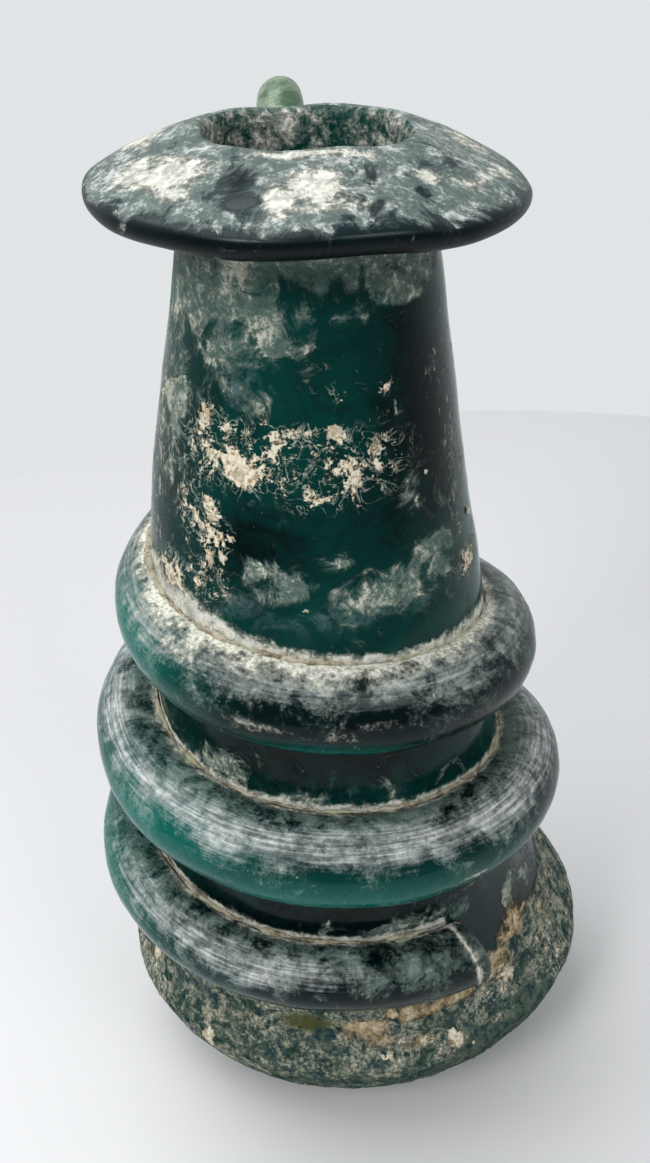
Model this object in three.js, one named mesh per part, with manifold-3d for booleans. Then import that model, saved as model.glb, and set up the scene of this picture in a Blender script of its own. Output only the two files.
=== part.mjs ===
// A free-blown Roman glass bottle with a mushroom rim, a rod of glass wound round its
// waist in a left-handed spiral, and a thin rod handle behind the neck.
// Millimetres, +Z up. The origin is the middle of the flat underside. The front of the
// bottle faces -Y, the handle stands at +Y.
import * as THREE from 'three';
import { mergeVertices } from 'three/addons/utils/BufferGeometryUtils.js';
import Module from 'manifold-3d';

// Blown body, outer radii and the heights at which they lie
const footRadius = 13.0;
const bellyRadius = 30.8;
const bellyHeight = 15.6;
const bellyUnderPower = 1.24;
const shoulderRadius = 24.4;
const shoulderHeight = 32.0;
const waistRadius = 19.6;
const waistHeight = 60.0;
const neckFootRadius = 18.6;
const neckFootHeight = 75.0;
const neckTopRadius = 12.8;
const neckTopHeight = 115.2;

// Thickness of the glass
const wallThickness = 2.4;
const floorThickness = 3.6;
const flatFloorShare = 0.8;

// Mushroom rim, folded outwards, up and in again
const rimRadius = 21.4;
const rimEdgeRadius = 1.6;
const rimRise = 6.8;
const rimCrown = 0.6;
const rimEdgeTurn = 120;
const lipRadius = 10.7;
const lipThickness = 1.2;
const neckFillet = 2.3;

// How far the hand-blown body is out of true
const waistShiftX = -2.5;
const waistShiftY = -5.2;
const bellyDepthShare = 0.94;
const shiftStartHeight = 17.0;
const shiftEndHeight = 42.0;
const neckLean = THREE.MathUtils.degToRad(2.9);
const leanHeight = 87.0;
const leanSpan = 24.0;

// Wound trail
const trailRadius = 5.1;
const trailPitch = 18.0;
const trailDropBelowNeckFoot = 1.6;
const trailStartTurn = -0.36;
const trailEndTurn = 2.35;
const trailSides = 14;
const trailStepsPerTurn = 27;

// Height of the rod's middle over the wall, as shares of its own radius, at its thin
// upper end, at the left of the first, second and third turn, and at its cut end
const trailLiftShare = [-0.98, -0.2, 0.42, 0.24, 0.16];

// Rod handle
const handleRadius = 2.5;
const handleReach = 6.4;
const handleAngle = THREE.MathUtils.degToRad(97);
const handleFootAboveTrail = 7.5;
const handleCrown = 0.8;
const handleTipInset = 4.6;
const handleFlareShare = 0.1;
const handleBowShare = 0.3;
const handleSagShare = 0.2;
const handleFlatShare = 0.4;
const handleSides = 12;
const handleSteps = 32;

// Gap between pieces of glass laid on each other
const clearance = 0.3;

const latheSegments = 48;
const underSteps = 6;
const bodySteps = 17;
const edgeSteps = 5;
const crownSteps = 5;
const liftSamples = 60;
const turn = 2 * Math.PI;
const leftSide = Math.PI;

const wasm = await Module();
wasm.setup();

// The belly is a little flat from front to back, the axis steps sideways above it, and
// the neck leans to the right.
function settle(point) {
  const rise = THREE.MathUtils.smoothstep(point.z, shiftStartHeight, shiftEndHeight);
  const leanStart = leanHeight - leanSpan / 2;
  const angle = neckLean * THREE.MathUtils.smoothstep(point.z, leanStart, leanStart + leanSpan);
  const above = point.z - leanHeight;
  const x = point.x * Math.cos(angle) + above * Math.sin(angle);
  const z = leanHeight - point.x * Math.sin(angle) + above * Math.cos(angle);
  const depth = THREE.MathUtils.lerp(bellyDepthShare, 1, rise);
  return new THREE.Vector3(x + waistShiftX * rise, point.y * depth + waistShiftY * rise, z);
}

function settleGeometry(geometry) {
  const position = geometry.attributes.position;
  const point = new THREE.Vector3();
  for (let i = 0; i < position.count; i++) {
    point.fromBufferAttribute(position, i);
    const moved = settle(point);
    position.setXYZ(i, moved.x, moved.y, moved.z);
  }
  return geometry;
}

// A closed mesh with shared vertices becomes a solid, and a solid becomes a mesh again.
function solidOf(geometry) {
  geometry.deleteAttribute('normal');
  geometry.deleteAttribute('uv');
  const merged = mergeVertices(geometry, 1e-4);
  const index = merged.index.array;
  const triangles = [];
  for (let i = 0; i < index.length; i += 3) {
    const [a, b, c] = [index[i], index[i + 1], index[i + 2]];
    if (a !== b && b !== c && c !== a) {
      triangles.push(a, b, c);
    }
  }
  const mesh = new wasm.Mesh({
    numProp: 3,
    vertProperties: new Float32Array(merged.attributes.position.array),
    triVerts: new Uint32Array(triangles),
  });
  return new wasm.Manifold(mesh);
}

function geometryOf(solid) {
  const mesh = solid.getMesh();
  const geometry = new THREE.BufferGeometry();
  geometry.setAttribute('position', new THREE.BufferAttribute(mesh.vertProperties, 3));
  geometry.setIndex(new THREE.BufferAttribute(mesh.triVerts, 1));
  geometry.computeVertexNormals();
  return geometry;
}

// Outer line of the body, from the edge of the foot up to the top of the neck
function bodyLine() {
  const lower = [];
  for (let i = 0; i < underSteps; i++) {
    const angle = (Math.PI / 2) * (1 - i / underSteps);
    const outwards = Math.cos(angle) ** bellyUnderPower;
    const downwards = Math.sin(angle) ** bellyUnderPower;
    const radius = footRadius + (bellyRadius - footRadius) * outwards;
    lower.push(new THREE.Vector2(radius, bellyHeight * (1 - downwards)));
  }
  const stations = [
    new THREE.Vector2(bellyRadius, bellyHeight),
    new THREE.Vector2(shoulderRadius, shoulderHeight),
    new THREE.Vector2(waistRadius, waistHeight),
    new THREE.Vector2(neckFootRadius, neckFootHeight),
    new THREE.Vector2(neckTopRadius, neckTopHeight - neckFillet),
  ];
  return lower.concat(new THREE.SplineCurve(stations).getPoints(bodySteps));
}

// Outer line of the rim: under the fold, round its edge and up the crown to the lip
function rimLine() {
  const edgeRadius = rimRadius - rimEdgeRadius;
  const edgeHeight = neckTopHeight + rimEdgeRadius;
  const lipHeight = neckTopHeight + rimRise;
  const points = [new THREE.Vector2(neckTopRadius + neckFillet, neckTopHeight)];
  for (let i = 0; i <= edgeSteps; i++) {
    const angle = THREE.MathUtils.degToRad(-90 + (rimEdgeTurn * i) / edgeSteps);
    const x = edgeRadius + rimEdgeRadius * Math.cos(angle);
    points.push(new THREE.Vector2(x, edgeHeight + rimEdgeRadius * Math.sin(angle)));
  }
  const edgeTop = points[points.length - 1];
  const lipTop = new THREE.Vector2(lipRadius, lipHeight);
  const crownMiddle = edgeTop.clone().add(lipTop).multiplyScalar(0.5);
  crownMiddle.y += rimCrown;
  const crown = new THREE.QuadraticBezierCurve(edgeTop, crownMiddle, lipTop);
  return points.concat(crown.getPoints(crownSteps).slice(1));
}

// Moves an open line to its left, that is inwards, by a wall's thickness
function offsetLine(line, distance) {
  return line.map((point, i) => {
    const before = line[Math.max(i - 1, 0)];
    const after = line[Math.min(i + 1, line.length - 1)];
    const along = after.clone().sub(before).normalize();
    return new THREE.Vector2(point.x - along.y * distance, point.y + along.x * distance);
  });
}

const outerBody = bodyLine();
const outerRim = rimLine();

// Radius of the outer wall at a height above the belly
function wallRadiusAt(height) {
  let i = outerBody.findIndex((point) => point.y >= height);
  i = i < 1 ? outerBody.length - 1 : i;
  const low = outerBody[i - 1];
  const high = outerBody[i];
  const share = THREE.MathUtils.clamp((height - low.y) / (high.y - low.y), 0, 1);
  return low.x + (high.x - low.x) * share;
}

function latheSolid(points) {
  const geometry = new THREE.LatheGeometry(points, latheSegments);
  geometry.rotateX(Math.PI / 2);
  return solidOf(settleGeometry(geometry));
}

function vessel() {
  const inside = offsetLine(outerBody, wallThickness);
  const cavity = inside.filter((point) => point.y > floorThickness && point.x > 0).reverse();
  const floor = cavity[cavity.length - 1];
  const mouth = [
    new THREE.Vector2(lipRadius - lipThickness / 2, neckTopHeight + rimRise),
    new THREE.Vector2(lipRadius - lipThickness, neckTopHeight + rimRise - lipThickness),
  ];
  const points = [
    new THREE.Vector2(0, 0),
    ...outerBody,
    ...outerRim,
    ...mouth,
    ...cavity,
    new THREE.Vector2(floor.x * flatFloorShare, floorThickness),
    new THREE.Vector2(0, floorThickness),
  ];
  return latheSolid(points);
}

// The filled outside of the vessel, larger by the clearance, cuts what lies on it.
function vesselCutter() {
  const body = offsetLine(outerBody, -clearance);
  const rim = offsetLine(outerRim, -clearance);
  body[0].y = -clearance;
  rim[0].x = body[body.length - 1].x + neckFillet - clearance;
  const top = rim[rim.length - 1];
  const points = [new THREE.Vector2(0, -clearance), ...body, ...rim, new THREE.Vector2(0, top.y)];
  return latheSolid(points);
}

class TrailCurve extends THREE.Curve {
  constructor() {
    super();
    const turns = [trailStartTurn, 0, 1, 2, trailEndTurn];
    this.lift = new THREE.CatmullRomCurve3(
      turns.map((at, i) => new THREE.Vector3(at, trailLiftShare[i] * trailRadius, 0)),
    );
  }

  liftAt(at) {
    const points = this.lift.getPoints(liftSamples);
    const i = Math.max(1, points.findIndex((point) => point.x >= at));
    const share = (at - points[i - 1].x) / (points[i].x - points[i - 1].x);
    return points[i - 1].y + (points[i].y - points[i - 1].y) * share;
  }

  getPoint(share, target = new THREE.Vector3()) {
    const at = trailStartTurn + (trailEndTurn - trailStartTurn) * share;
    const height = neckFootHeight - trailDropBelowNeckFoot - trailPitch * at;
    const radius = wallRadiusAt(height) + this.liftAt(at);
    const angle = leftSide + turn * at;
    return target.set(radius * Math.cos(angle), radius * Math.sin(angle), height);
  }
}

function rodSolid(curve, radius, sides, steps) {
  const section = new THREE.Shape();
  for (let i = 0; i < sides; i++) {
    const angle = (turn * i) / sides;
    const method = i === 0 ? 'moveTo' : 'lineTo';
    section[method](radius * Math.cos(angle), radius * Math.sin(angle));
  }
  const settings = { steps, extrudePath: curve, bevelEnabled: false };
  return solidOf(settleGeometry(new THREE.ExtrudeGeometry(section, settings)));
}

function spiralTrail(cutter) {
  const steps = Math.round((trailEndTurn - trailStartTurn) * trailStepsPerTurn);
  return rodSolid(new TrailCurve(), trailRadius, trailSides, steps).subtract(cutter);
}

// The handle leaves the neck above the trail, stands clear of the neck, rises past the
// edge of the rim and bends over onto its crown.
function handle(cutter) {
  const trailTop = neckFootHeight - trailDropBelowNeckFoot - trailPitch * trailStartTurn;
  const footHeight = trailTop + handleFootAboveTrail;
  const lipHeight = neckTopHeight + rimRise;
  const outside = rimRadius + handleRadius + clearance;
  const crownHeight = lipHeight + handleCrown - handleRadius;
  const points = [
    [wallRadiusAt(footHeight) - handleRadius, footHeight - handleRadius],
    [wallRadiusAt(footHeight) + handleRadius, footHeight],
    [outside + handleReach * handleFlareShare, footHeight + handleReach],
    [outside + handleReach * handleBowShare, (footHeight + neckTopHeight + handleReach) / 2],
    [outside + handleReach * handleFlareShare, neckTopHeight - handleRadius],
    [rimRadius, crownHeight - handleRadius * handleSagShare],
    [rimRadius - handleTipInset * handleFlatShare, crownHeight],
    [rimRadius - handleTipInset, crownHeight - handleRadius],
  ];
  const across = Math.cos(handleAngle);
  const back = Math.sin(handleAngle);
  const places = points.map(([out, up]) => new THREE.Vector3(out * across, out * back, up));
  const path = new THREE.CatmullRomCurve3(places);
  return rodSolid(path, handleRadius, handleSides, handleSteps).subtract(cutter);
}

function piece(name, solid, colour, roughness) {
  const material = new THREE.MeshStandardMaterial({ color: colour, roughness, metalness: 0 });
  const mesh = new THREE.Mesh(geometryOf(solid), material);
  mesh.name = name;
  return mesh;
}

const cutter = vesselCutter();
const bottle = new THREE.Group();
bottle.add(piece('vessel', vessel(), 0x1d4a45, 0.42));
bottle.add(piece('spiral_trail', spiralTrail(cutter), 0x0f4f49, 0.3));
bottle.add(piece('handle', handle(cutter), 0x8fae96, 0.35));

export default bottle;
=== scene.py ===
# An ancient free-blown glass bottle with a wound trail, on a round white table.
# Metres, +Z up, the origin in the middle of the flat foot, the front towards -Y.
import math
import random

import bpy
import numpy as np
from mathutils import Matrix, Vector, noise


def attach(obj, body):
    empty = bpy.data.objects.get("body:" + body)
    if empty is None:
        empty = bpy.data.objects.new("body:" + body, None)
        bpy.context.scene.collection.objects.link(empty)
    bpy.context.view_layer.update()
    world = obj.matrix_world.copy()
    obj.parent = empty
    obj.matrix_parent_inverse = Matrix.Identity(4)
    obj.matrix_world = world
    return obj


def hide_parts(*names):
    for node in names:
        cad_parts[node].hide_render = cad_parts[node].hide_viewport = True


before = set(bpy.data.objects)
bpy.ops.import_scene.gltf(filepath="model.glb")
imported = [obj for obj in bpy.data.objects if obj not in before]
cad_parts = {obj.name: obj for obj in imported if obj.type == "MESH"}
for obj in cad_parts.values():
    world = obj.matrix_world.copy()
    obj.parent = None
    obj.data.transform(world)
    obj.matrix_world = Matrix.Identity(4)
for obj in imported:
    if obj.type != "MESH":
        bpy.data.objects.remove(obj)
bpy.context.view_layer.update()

# The camera looks down on the bottle from close by and from the front, and is a little tilted
# in its own plane.
camera_place = Vector((-0.00153, -0.1252, 0.146))
camera_pitch = math.radians(-31.69)
camera_roll = math.radians(-3.43)
camera_lens = 38.07

camera_data = bpy.data.cameras.new("camera")
camera_data.lens = camera_lens
camera_data.clip_start = 0.01
camera = bpy.data.objects.new("camera", camera_data)
camera.matrix_world = (
    Matrix.Translation(camera_place)
    @ Matrix.Rotation(math.radians(90) + camera_pitch, 4, "X")
    @ Matrix.Rotation(camera_roll, 4, "Z")
)
bpy.context.scene.collection.objects.link(camera)
bpy.context.scene.camera = camera

# The table is a round white board with a softened edge. It carries the bottle and isn't part
# of it.
table_centre = (0.020, -0.014)
table_radius = 0.216
table_thickness = 0.012
table_edge = 0.0015
table_sides = 256
board_white = (0.69, 0.69, 0.702, 1)
board_grey = (0.67, 0.67, 0.682, 1)


def new_finish(name):
    """A new material without its first nodes, its tree and the place on the piece."""
    material = bpy.data.materials.new(name)
    material.use_nodes = True
    material.node_tree.nodes.clear()
    place = node(material.node_tree, "TexCoord").outputs["Object"]
    return material, material.node_tree, place


def node(tree, kind, inputs=None, **settings):
    """A shader node with its settings, and each input linked or set."""
    made = tree.nodes.new("ShaderNode" + kind)
    for name, value in settings.items():
        setattr(made, name, value)
    for socket, value in (inputs or {}).items():
        if isinstance(value, bpy.types.NodeSocket):
            tree.links.new(value, made.inputs[socket])
        else:
            made.inputs[socket].default_value = value
    return made


def surface(tree, inputs, volume=None):
    """Ends a material in one principled shader."""
    shader = node(tree, "BsdfPrincipled", inputs)
    output = node(tree, "OutputMaterial", {"Surface": shader.outputs["BSDF"]})
    if volume:
        tree.links.new(volume, output.inputs["Volume"])


bpy.ops.object.select_all(action="DESELECT")
bpy.ops.mesh.primitive_cylinder_add(
    vertices=table_sides,
    radius=table_radius,
    depth=table_thickness,
    location=(*table_centre, -table_thickness / 2),
)
table = bpy.context.object
table.name = "table"
bpy.ops.object.transform_apply(location=True)
bpy.ops.object.mode_set(mode="EDIT")
bpy.ops.mesh.select_all(action="SELECT")
bpy.ops.mesh.bevel(offset=table_edge, segments=4, affect="EDGES")
bpy.ops.object.mode_set(mode="OBJECT")
bpy.ops.object.shade_smooth_by_angle(angle=math.radians(30))

table_finish, tree, place = new_finish("white_board")
mottle = node(tree, "TexNoise", {"Vector": place, "Scale": 18.0, "Detail": 2.0})
tone = node(
    tree,
    "Mix",
    {"Factor": mottle.outputs["Fac"], 6: board_grey, 7: board_white},
    data_type="RGBA",
)
surface(tree, {"Base Color": tone.outputs[2], "Roughness": 0.55})
table.data.materials.append(table_finish)

# The room is pale grey, and darker behind the viewer. One broad soft light hangs over the left
# side, and a smaller one stands at each side of the camera.
room_grey = (0.640, 0.662, 0.672, 1)
room_light = 1.0
room_dark_side = 0.35
lit_point = (0, 0, 0.06)

world = bpy.data.worlds.new("room")
world.use_nodes = True
room = world.node_tree
background = room.nodes["Background"]
background.inputs["Color"].default_value = room_grey
direction = node(room, "SeparateXYZ", {"Vector": node(room, "TexCoord").outputs["Generated"]})
brightness = node(
    room,
    "MapRange",
    {
        "Value": direction.outputs["Y"],
        "From Min": -0.5,
        "From Max": 0.4,
        "To Min": room_dark_side,
        "To Max": room_light,
    },
)
room.links.new(brightness.outputs["Result"], background.inputs["Strength"])
bpy.context.scene.world = world
bpy.context.scene.view_settings.view_transform = "Standard"
bpy.context.scene.view_settings.look = "Medium High Contrast"


def soft_light(name, place, target, size, power):
    """A rectangular area light that faces a point."""
    data = bpy.data.lights.new(name, "AREA")
    data.shape = "RECTANGLE"
    data.size, data.size_y = size
    data.energy = power
    light = bpy.data.objects.new(name, data)
    light.location = place
    light.rotation_euler = (Vector(target) - Vector(place)).to_track_quat("-Z", "Y").to_euler()
    bpy.context.scene.collection.objects.link(light)


soft_light("broad_light", (-0.22, 0.04, 0.58), lit_point, (0.52, 0.46), 1.75)
soft_light("left_light", (-0.22, -0.31, 0.36), lit_point, (0.14, 0.17), 0.80)
soft_light("right_light", (0.22, -0.31, 0.36), lit_point, (0.20, 0.22), 0.55)

# The vessel is one bubble of deep teal glass, blown and tooled by hand: flat foot, low swollen
# belly, waist, long neck and a rim folded out, up and in again. It is hollow and empty.
# The body is out of true: the waist stands to one side of the belly and the neck leans.
foot_radius = 0.0130
belly_radius = 0.0308
belly_height = 0.0156
belly_under_power = 1.24
shoulder_radius = 0.0244
shoulder_height = 0.0320
waist_radius = 0.0196
waist_height = 0.0600
neck_foot_radius = 0.0186
neck_foot_height = 0.0750
neck_top_radius = 0.0128
neck_top_height = 0.1152
neck_fillet = 0.0023
wall_thickness = 0.0024
floor_thickness = 0.0036
rim_radius = 0.0214
rim_edge_radius = 0.0016
rim_rise = 0.0068
rim_crown = 0.0006
rim_edge_turn = 120
lip_radius = 0.0107
lip_thickness = 0.0012
lip_height = neck_top_height + rim_rise
vessel_sides = 72
waist_shift = (-0.0025, -0.0052)
belly_depth_share = 0.94
shift_start_height = 0.017
shift_end_height = 0.042
neck_lean = math.radians(2.9)
lean_height = 0.087
lean_span = 0.024


def smooth(value, low, high):
    """0 below low, 1 above high, and a smooth step between."""
    share = np.clip((value - low) / (high - low), 0, 1)
    return share * share * (3 - 2 * share)


def hump(value, middle, width):
    """1 at the middle, falling away softly on both sides."""
    return np.exp(-(((value - middle) / width) ** 2))


def spline(stations, steps):
    """Points on a smooth line through the stations."""
    stations = np.array(stations, float)
    padded = np.vstack([stations[:1], stations, stations[-1:]])
    line = []
    for place in np.linspace(0, len(stations) - 1, steps + 1):
        i = min(int(place), len(stations) - 2)
        t = place - i
        before, start, end, after = padded[i : i + 4]
        leave, arrive = (end - before) / 2, (after - start) / 2
        cubic = 2 * start - 2 * end + leave + arrive
        square = 3 * end - 3 * start - 2 * leave - arrive
        line.append(cubic * t**3 + square * t**2 + leave * t + start)
    return np.array(line)


def body_line(under_steps=7, steps=34):
    """Outer line of the body as (radius, height), from the foot to the top of the neck."""
    quarter = np.linspace(math.pi / 2, 0, under_steps, endpoint=False)
    under = np.column_stack(
        [
            foot_radius + (belly_radius - foot_radius) * np.cos(quarter) ** belly_under_power,
            belly_height * (1 - np.sin(quarter) ** belly_under_power),
        ]
    )
    stations = [
        (belly_radius, belly_height),
        (shoulder_radius, shoulder_height),
        (waist_radius, waist_height),
        (neck_foot_radius, neck_foot_height),
        (neck_top_radius, neck_top_height - neck_fillet),
    ]
    return np.vstack([under, spline(stations, steps)])


def rim_line(edge_steps=6, crown_steps=7):
    """Outer line of the rim, from under the fold round its edge and up to the lip."""
    edge = np.radians(np.linspace(-90, rim_edge_turn - 90, edge_steps + 1))
    fold = np.column_stack(
        [
            rim_radius - rim_edge_radius + rim_edge_radius * np.cos(edge),
            neck_top_height + rim_edge_radius + rim_edge_radius * np.sin(edge),
        ]
    )
    start, end = fold[-1], np.array([lip_radius, lip_height])
    middle = (start + end) / 2 + (0, rim_crown)
    crown = [
        start * (1 - t) ** 2 + middle * 2 * t * (1 - t) + end * t * t
        for t in np.linspace(0, 1, crown_steps + 1)[1:]
    ]
    return np.vstack([[(neck_top_radius + neck_fillet, neck_top_height)], fold, crown])


def inside_line(line):
    """The line moved inwards by the wall's thickness, from the top down to the floor."""
    along = np.gradient(line, axis=0)
    along /= np.linalg.norm(along, axis=1)[:, None]
    moved = line + np.column_stack([-along[:, 1], along[:, 0]]) * wall_thickness
    return moved[moved[:, 1] > floor_thickness][::-1]


outer_body = body_line()


def wall_radius(height):
    """Radius of the outer wall at a height."""
    return np.interp(height, outer_body[:, 1], outer_body[:, 0])


def settle(points):
    """Sets points of a true body out of true, as the hand-blown one is."""
    x, y, z = points.T
    rise = smooth(z, shift_start_height, shift_end_height)
    angle = neck_lean * smooth(z, lean_height - lean_span / 2, lean_height + lean_span / 2)
    above = z - lean_height
    return np.column_stack(
        [
            x * np.cos(angle) + above * np.sin(angle) + waist_shift[0] * rise,
            y * (belly_depth_share + (1 - belly_depth_share) * rise) + waist_shift[1] * rise,
            lean_height - x * np.sin(angle) + above * np.cos(angle),
        ]
    )


def points_of(piece):
    """The places of a mesh's vertices as rows."""
    flat = np.empty(len(piece.data.vertices) * 3, np.float32)
    piece.data.vertices.foreach_get("co", flat)
    return flat.reshape(-1, 3).astype(float)


def move_points(piece, points):
    """Moves a mesh's vertices to places given as rows."""
    piece.data.vertices.foreach_set("co", points.astype(np.float32).ravel())
    piece.data.update()


def mark(piece, name, values):
    """Writes one number, or one vector, for each vertex."""
    kind, field = ("FLOAT", "value") if np.ndim(values) == 1 else ("FLOAT_VECTOR", "vector")
    attribute = piece.data.attributes.new(name, kind, "POINT")
    attribute.data.foreach_set(field, np.asarray(values, np.float32).ravel())


def apply_modifier(piece, kind, **settings):
    """Adds a modifier and applies it."""
    modifier = piece.modifiers.new(kind.lower(), kind)
    for name, value in settings.items():
        setattr(modifier, name, value)
    bpy.context.view_layer.objects.active = piece
    bpy.ops.object.modifier_apply(modifier=modifier.name)


def start_edit(name):
    """Names the new primitive and selects all of it in edit mode."""
    bpy.context.object.name = name
    bpy.context.object.data.name = name
    bpy.ops.object.mode_set(mode="EDIT")
    bpy.ops.mesh.select_all(action="SELECT")
    return bpy.context.object


def clouds(name, size, depth=2):
    """A cloud pattern for a displace modifier."""
    pattern = bpy.data.textures.new(name, "CLOUDS")
    pattern.noise_scale = size
    pattern.noise_depth = depth
    return pattern


mouth_line = [
    (lip_radius - lip_thickness / 2, lip_height),
    (lip_radius - lip_thickness, lip_height - lip_thickness),
]
cavity_line = inside_line(outer_body)
cavity_line = np.vstack([cavity_line[:-1:3], cavity_line[-1:]])
vessel_line = np.vstack(
    [
        [(0, 0), (foot_radius / 2, 0)],
        outer_body,
        rim_line(),
        mouth_line,
        cavity_line,
        [(cavity_line[-1][0] * 0.8, floor_thickness), (0, floor_thickness)],
    ]
)
bpy.ops.object.select_all(action="DESELECT")
bpy.ops.mesh.primitive_plane_add(size=0.001)
vessel = start_edit("vessel_glass")
bpy.ops.mesh.merge(type="CENTER")
for step in np.diff(vessel_line, axis=0):
    bpy.ops.mesh.extrude_vertices_move(
        TRANSFORM_OT_translate={"value": (step[0], 0, step[1])}
    )
bpy.ops.mesh.select_all(action="SELECT")
bpy.ops.mesh.spin(steps=vessel_sides, angle=math.tau, center=(0, 0, 0), axis=(0, 0, 1))
bpy.ops.mesh.select_all(action="SELECT")
bpy.ops.mesh.remove_doubles(threshold=1e-6)
bpy.ops.mesh.normals_make_consistent(inside=False)
bpy.ops.object.mode_set(mode="OBJECT")
apply_modifier(vessel, "SUBSURF", levels=2, render_levels=2)
bpy.ops.object.shade_smooth()

# The trail's course is needed here already, because soil lies in the crevice over it.
trail_radius = 0.0051
trail_pitch = 0.018
trail_drop = 0.0016
trail_start_turn = -0.36
trail_end_turn = 2.35
trail_lift_share = [-0.98, -0.2, 0.42, 0.24, 0.16]
trail_lift_turns = [trail_start_turn, 0, 1, 2, trail_end_turn]
smear_start_turn = trail_start_turn + 0.06
smear_end_turn = trail_end_turn - 0.01
trail_lift_line = spline(np.column_stack([trail_lift_turns, trail_lift_share]), 60)


def trail_lift(turns):
    """Height of the rod's middle over the wall. Turn 0 is at the left, 0.25 at the front."""
    return np.interp(turns, trail_lift_line[:, 0], trail_lift_line[:, 1]) * trail_radius


def trail_height(turns):
    """Height of the rod's middle over the foot."""
    return neck_foot_height - trail_drop - trail_pitch * turns


def above_trail(points):
    """Height of points of the wall over the line where the rod's upper side meets it, and
    the turn of the rod there. Far from the rod the height is 1."""
    first_turn = np.arctan2(points[:, 0], -points[:, 1]) / math.tau + 0.25
    nearest, turn_there = np.ones(len(points)), np.zeros(len(points))
    for more in range(-1, 3):
        turns = first_turn + more
        half = np.sqrt(np.maximum(trail_radius**2 - trail_lift(turns) ** 2, 0))
        above = points[:, 2] - trail_height(turns) - half
        laid = (turns > smear_start_turn) & (turns < smear_end_turn)
        closer = laid & (above > -0.002) & (above < nearest)
        nearest = np.where(closer, above, nearest)
        turn_there = np.where(closer, turns, turn_there)
    return nearest, turn_there


# Weathering and darker glass of the vessel, as listed patches: degrees to the right of the front,
# height, half width, half height (all lengths in millimetres) and amount
film_on_wall = [
    (-36, 110.0, 6.0, 3.4, 1.0),
    (-62, 108.5, 6.0, 4.4, 0.9),
    (-18, 108.5, 2.6, 3.6, 0.9),
    (-4, 108.0, 1.8, 2.2, 0.7),
    (4, 111.0, 1.0, 1.6, 0.6),
    (28, 111.2, 3.4, 1.0, 0.95),
    (16, 108.0, 2.2, 0.9, 0.95),
    (34, 109.3, 4.4, 0.9, 0.95),
    (50, 111.0, 4.0, 2.0, 0.8),
    (-80, 108.0, 6.0, 6.0, 0.8),
    (-30, 104.5, 5.0, 2.4, 0.75),
    (-15, 100.5, 2.0, 1.8, 0.6),
    (-62, 98.0, 4.0, 9.0, 0.7),
    (28, 80.6, 4.0, 2.6, 0.95),
    (12, 79.5, 2.4, 2.4, 0.9),
    (-6, 81.5, 4.0, 1.1, 0.8),
    (-16, 83.6, 3.2, 1.4, 0.8),
    (8, 84.6, 2.0, 1.1, 0.65),
    (44, 82.5, 3.6, 3.4, 0.85),
    (38, 90.0, 1.6, 3.0, 0.5),
    (-12, 55.8, 15.0, 2.0, 0.62),
    (-44, 57.6, 8.0, 3.4, 0.72),
    (10, 37.5, 14.0, 3.0, 0.55),
    (130, 100.0, 9.0, 12.0, 0.7),
    (-140, 96.0, 8.0, 14.0, 0.65),
    (170, 84.0, 14.0, 5.0, 0.8),
    (180, 60.0, 14.0, 10.0, 0.6),
    (75, 30.0, 7.0, 5.0, 0.55),
    (60, 33.0, 5.0, 3.0, 0.6),
]
crust_on_wall = [
    (-24, 93.4, 3.0, 1.8, 1.0),
    (-12, 93.6, 1.6, 1.6, 0.7),
    (2, 91.2, 2.6, 1.2, 0.8),
    (14, 92.8, 1.8, 1.8, 0.8),
    (-41, 97.6, 1.2, 1.2, 0.85),
    (-12, 96.4, 2.2, 1.6, 0.9),
    (0, 97.6, 3.2, 0.9, 0.7),
    (8, 97.8, 1.2, 0.8, 0.95),
    (10, 94.0, 7.0, 4.0, 0.62),
    (-30, 95.0, 7.0, 4.0, 0.62),
    (12, 101.4, 2.2, 1.0, 0.5),
    (28, 101.6, 0.9, 0.9, 0.8),
    (5, 103.4, 0.9, 0.3, 0.8),
    (-37, 89.4, 1.2, 1.6, 0.9),
    (-34, 86.4, 2.0, 1.8, 0.85),
    (-44, 88.0, 2.6, 3.0, 0.6),
    (-58, 80.4, 3.0, 2.4, 0.9),
    (-40, 81.0, 4.0, 2.4, 0.6),
    (66, 78.4, 3.0, 1.6, 0.8),
    (60, 87.0, 1.2, 5.0, 0.5),
    (150, 90.0, 5.0, 6.0, 0.7),
    (-110, 88.0, 4.0, 5.0, 0.7),
    (120, 106.0, 3.0, 2.0, 0.7),
    (-64, 17.0, 8.0, 6.0, 0.36),
    (-34, 13.0, 7.0, 4.0, 0.26),
    (-4, 11.0, 9.0, 3.0, 0.3),
    (12, 19.0, 6.0, 3.6, 0.38),
    (36, 21.0, 8.0, 4.0, 0.42),
    (62, 20.0, 8.0, 7.0, 0.42),
    (24, 9.0, 9.0, 3.0, 0.3),
    (120, 18.0, 18.0, 6.0, 0.36),
    (-120, 16.0, 16.0, 6.0, 0.36),
    (180, 14.0, 12.0, 5.0, 0.32),
]
bare_on_wall = [
    (46, 29.0, 5.0, 3.0, 1.0),
    (30, 31.0, 6.0, 2.0, 1.0),
    (-88, 27.0, 6.0, 2.6, 0.8),
    (160, 28.0, 9.0, 3.0, 0.8),
]
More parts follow.
